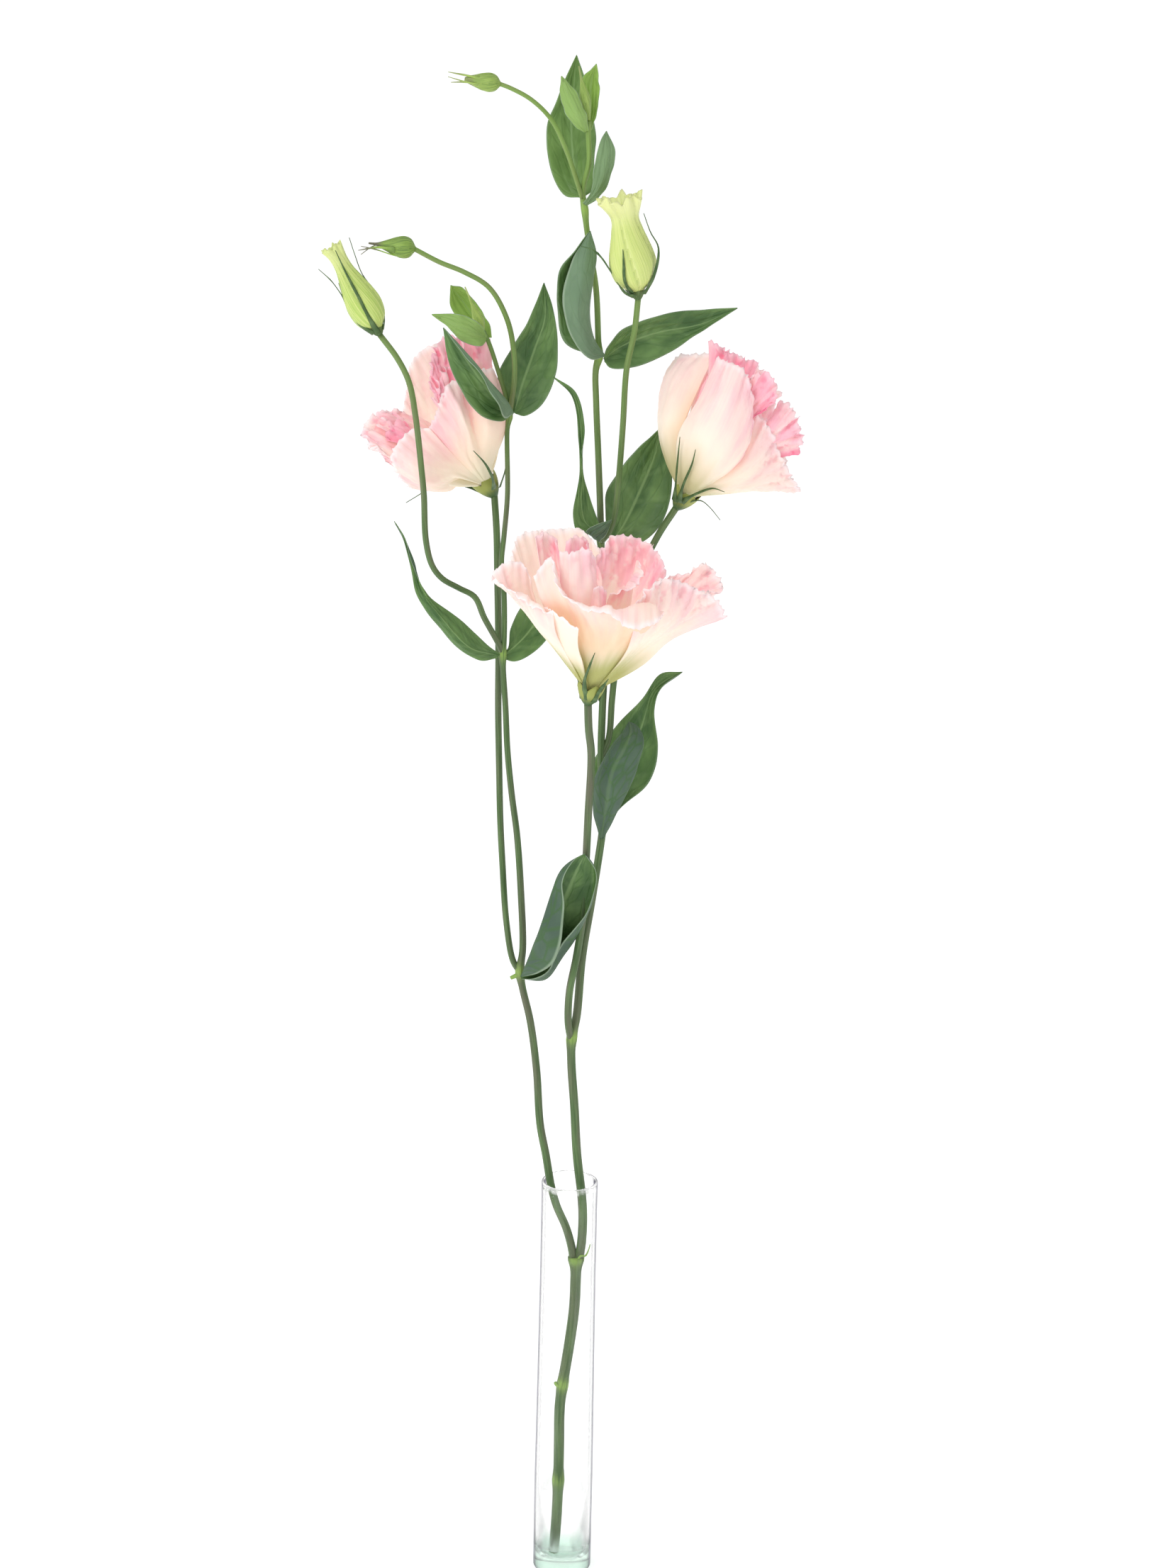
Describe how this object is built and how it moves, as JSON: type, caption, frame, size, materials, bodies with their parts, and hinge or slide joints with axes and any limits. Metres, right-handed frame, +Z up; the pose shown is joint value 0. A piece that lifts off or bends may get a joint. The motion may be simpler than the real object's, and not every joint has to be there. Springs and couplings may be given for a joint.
{
  "type": "lisianthus flower",
  "caption": "Cut lisianthus spray with forked stems, leaves, ruffled blooms and buds, standing in a slim glass tube vase of water.",
  "frame": {"origin": "middle of the vase's flat base, on the surface it stands on", "axes": "+Z up along the vase, -Y towards the front from which the middle flower is seen, +X to the right of that view"},
  "size_m": [0.1717, 0.1149, 0.5781],
  "materials": {
    "clear_glass": "clear, slightly green glass",
    "water": "clear water",
    "stem_green": "satin grey-green plant stem",
    "leaf_green": "satin green leaf with a grey-green underside",
    "petal_pink": "soft matte petal, cream at the foot and pink at the rim",
    "bud_lime": "satin yellow-green bud"
  },
  "bodies": {
    "root": {"centre_flower_calyx": "stem_green", "centre_flower_inner_petals": "petal_pink", "centre_flower_petal_1": "petal_pink", "centre_flower_petal_2": "petal_pink", "centre_flower_petal_3": "petal_pink", "centre_flower_petal_4": "petal_pink", "centre_flower_petal_5": "petal_pink", "centre_flower_stalk": "stem_green", "left_branch": "stem_green", "left_bud_calyx": "stem_green", "left_bud_petals": "bud_lime", "left_bud_stalk": "stem_green", "left_cluster_back_leaf": "leaf_green", "left_cluster_front_leaf": "leaf_green", "left_flower_calyx": "stem_green", "left_flower_inner_petals": "petal_pink", "left_flower_petal_1": "petal_pink", "left_flower_petal_2": "petal_pink", "left_flower_petal_3": "petal_pink", "left_flower_petal_4": "petal_pink", "left_flower_petal_5": "petal_pink", "left_flower_stalk": "stem_green", "left_nodding_bud": "bud_lime", "left_nodding_bud_stalk": "stem_green", "left_tiny_bud": "bud_lime", "lower_left_rolled_leaf": "leaf_green", "lower_right_back_leaf": "leaf_green", "lower_right_front_leaf": "leaf_green", "main_stem": "stem_green", "middle_left_long_leaf": "leaf_green", "middle_left_short_leaf": "leaf_green", "middle_right_broad_leaf": "leaf_green", "middle_right_small_leaf": "leaf_green", "middle_right_twisted_leaf": "leaf_green", "right_branch": "stem_green", "right_flower_calyx": "stem_green", "right_flower_inner_petals": "petal_pink", "right_flower_petal_1": "petal_pink", "right_flower_petal_2": "petal_pink", "right_flower_petal_3": "petal_pink", "right_flower_petal_4": "petal_pink", "right_flower_petal_5": "petal_pink", "right_flower_stalk": "stem_green", "top_broad_leaf": "leaf_green", "top_cluster_left_leaf": "leaf_green", "top_cluster_right_leaf": "leaf_green", "top_narrow_leaf": "leaf_green", "top_nodding_bud": "bud_lime", "top_nodding_bud_stalk": "stem_green", "top_tiny_bud": "bud_lime", "upper_left_broad_leaf": "leaf_green", "upper_left_dark_leaf": "leaf_green", "upper_right_folded_leaf": "leaf_green", "upper_right_long_leaf": "leaf_green", "vase": "clear_glass", "water": "water", "yellow_bud_calyx": "stem_green", "yellow_bud_petals": "bud_lime", "yellow_bud_stalk": "stem_green"}
  },
  "joints": []
}
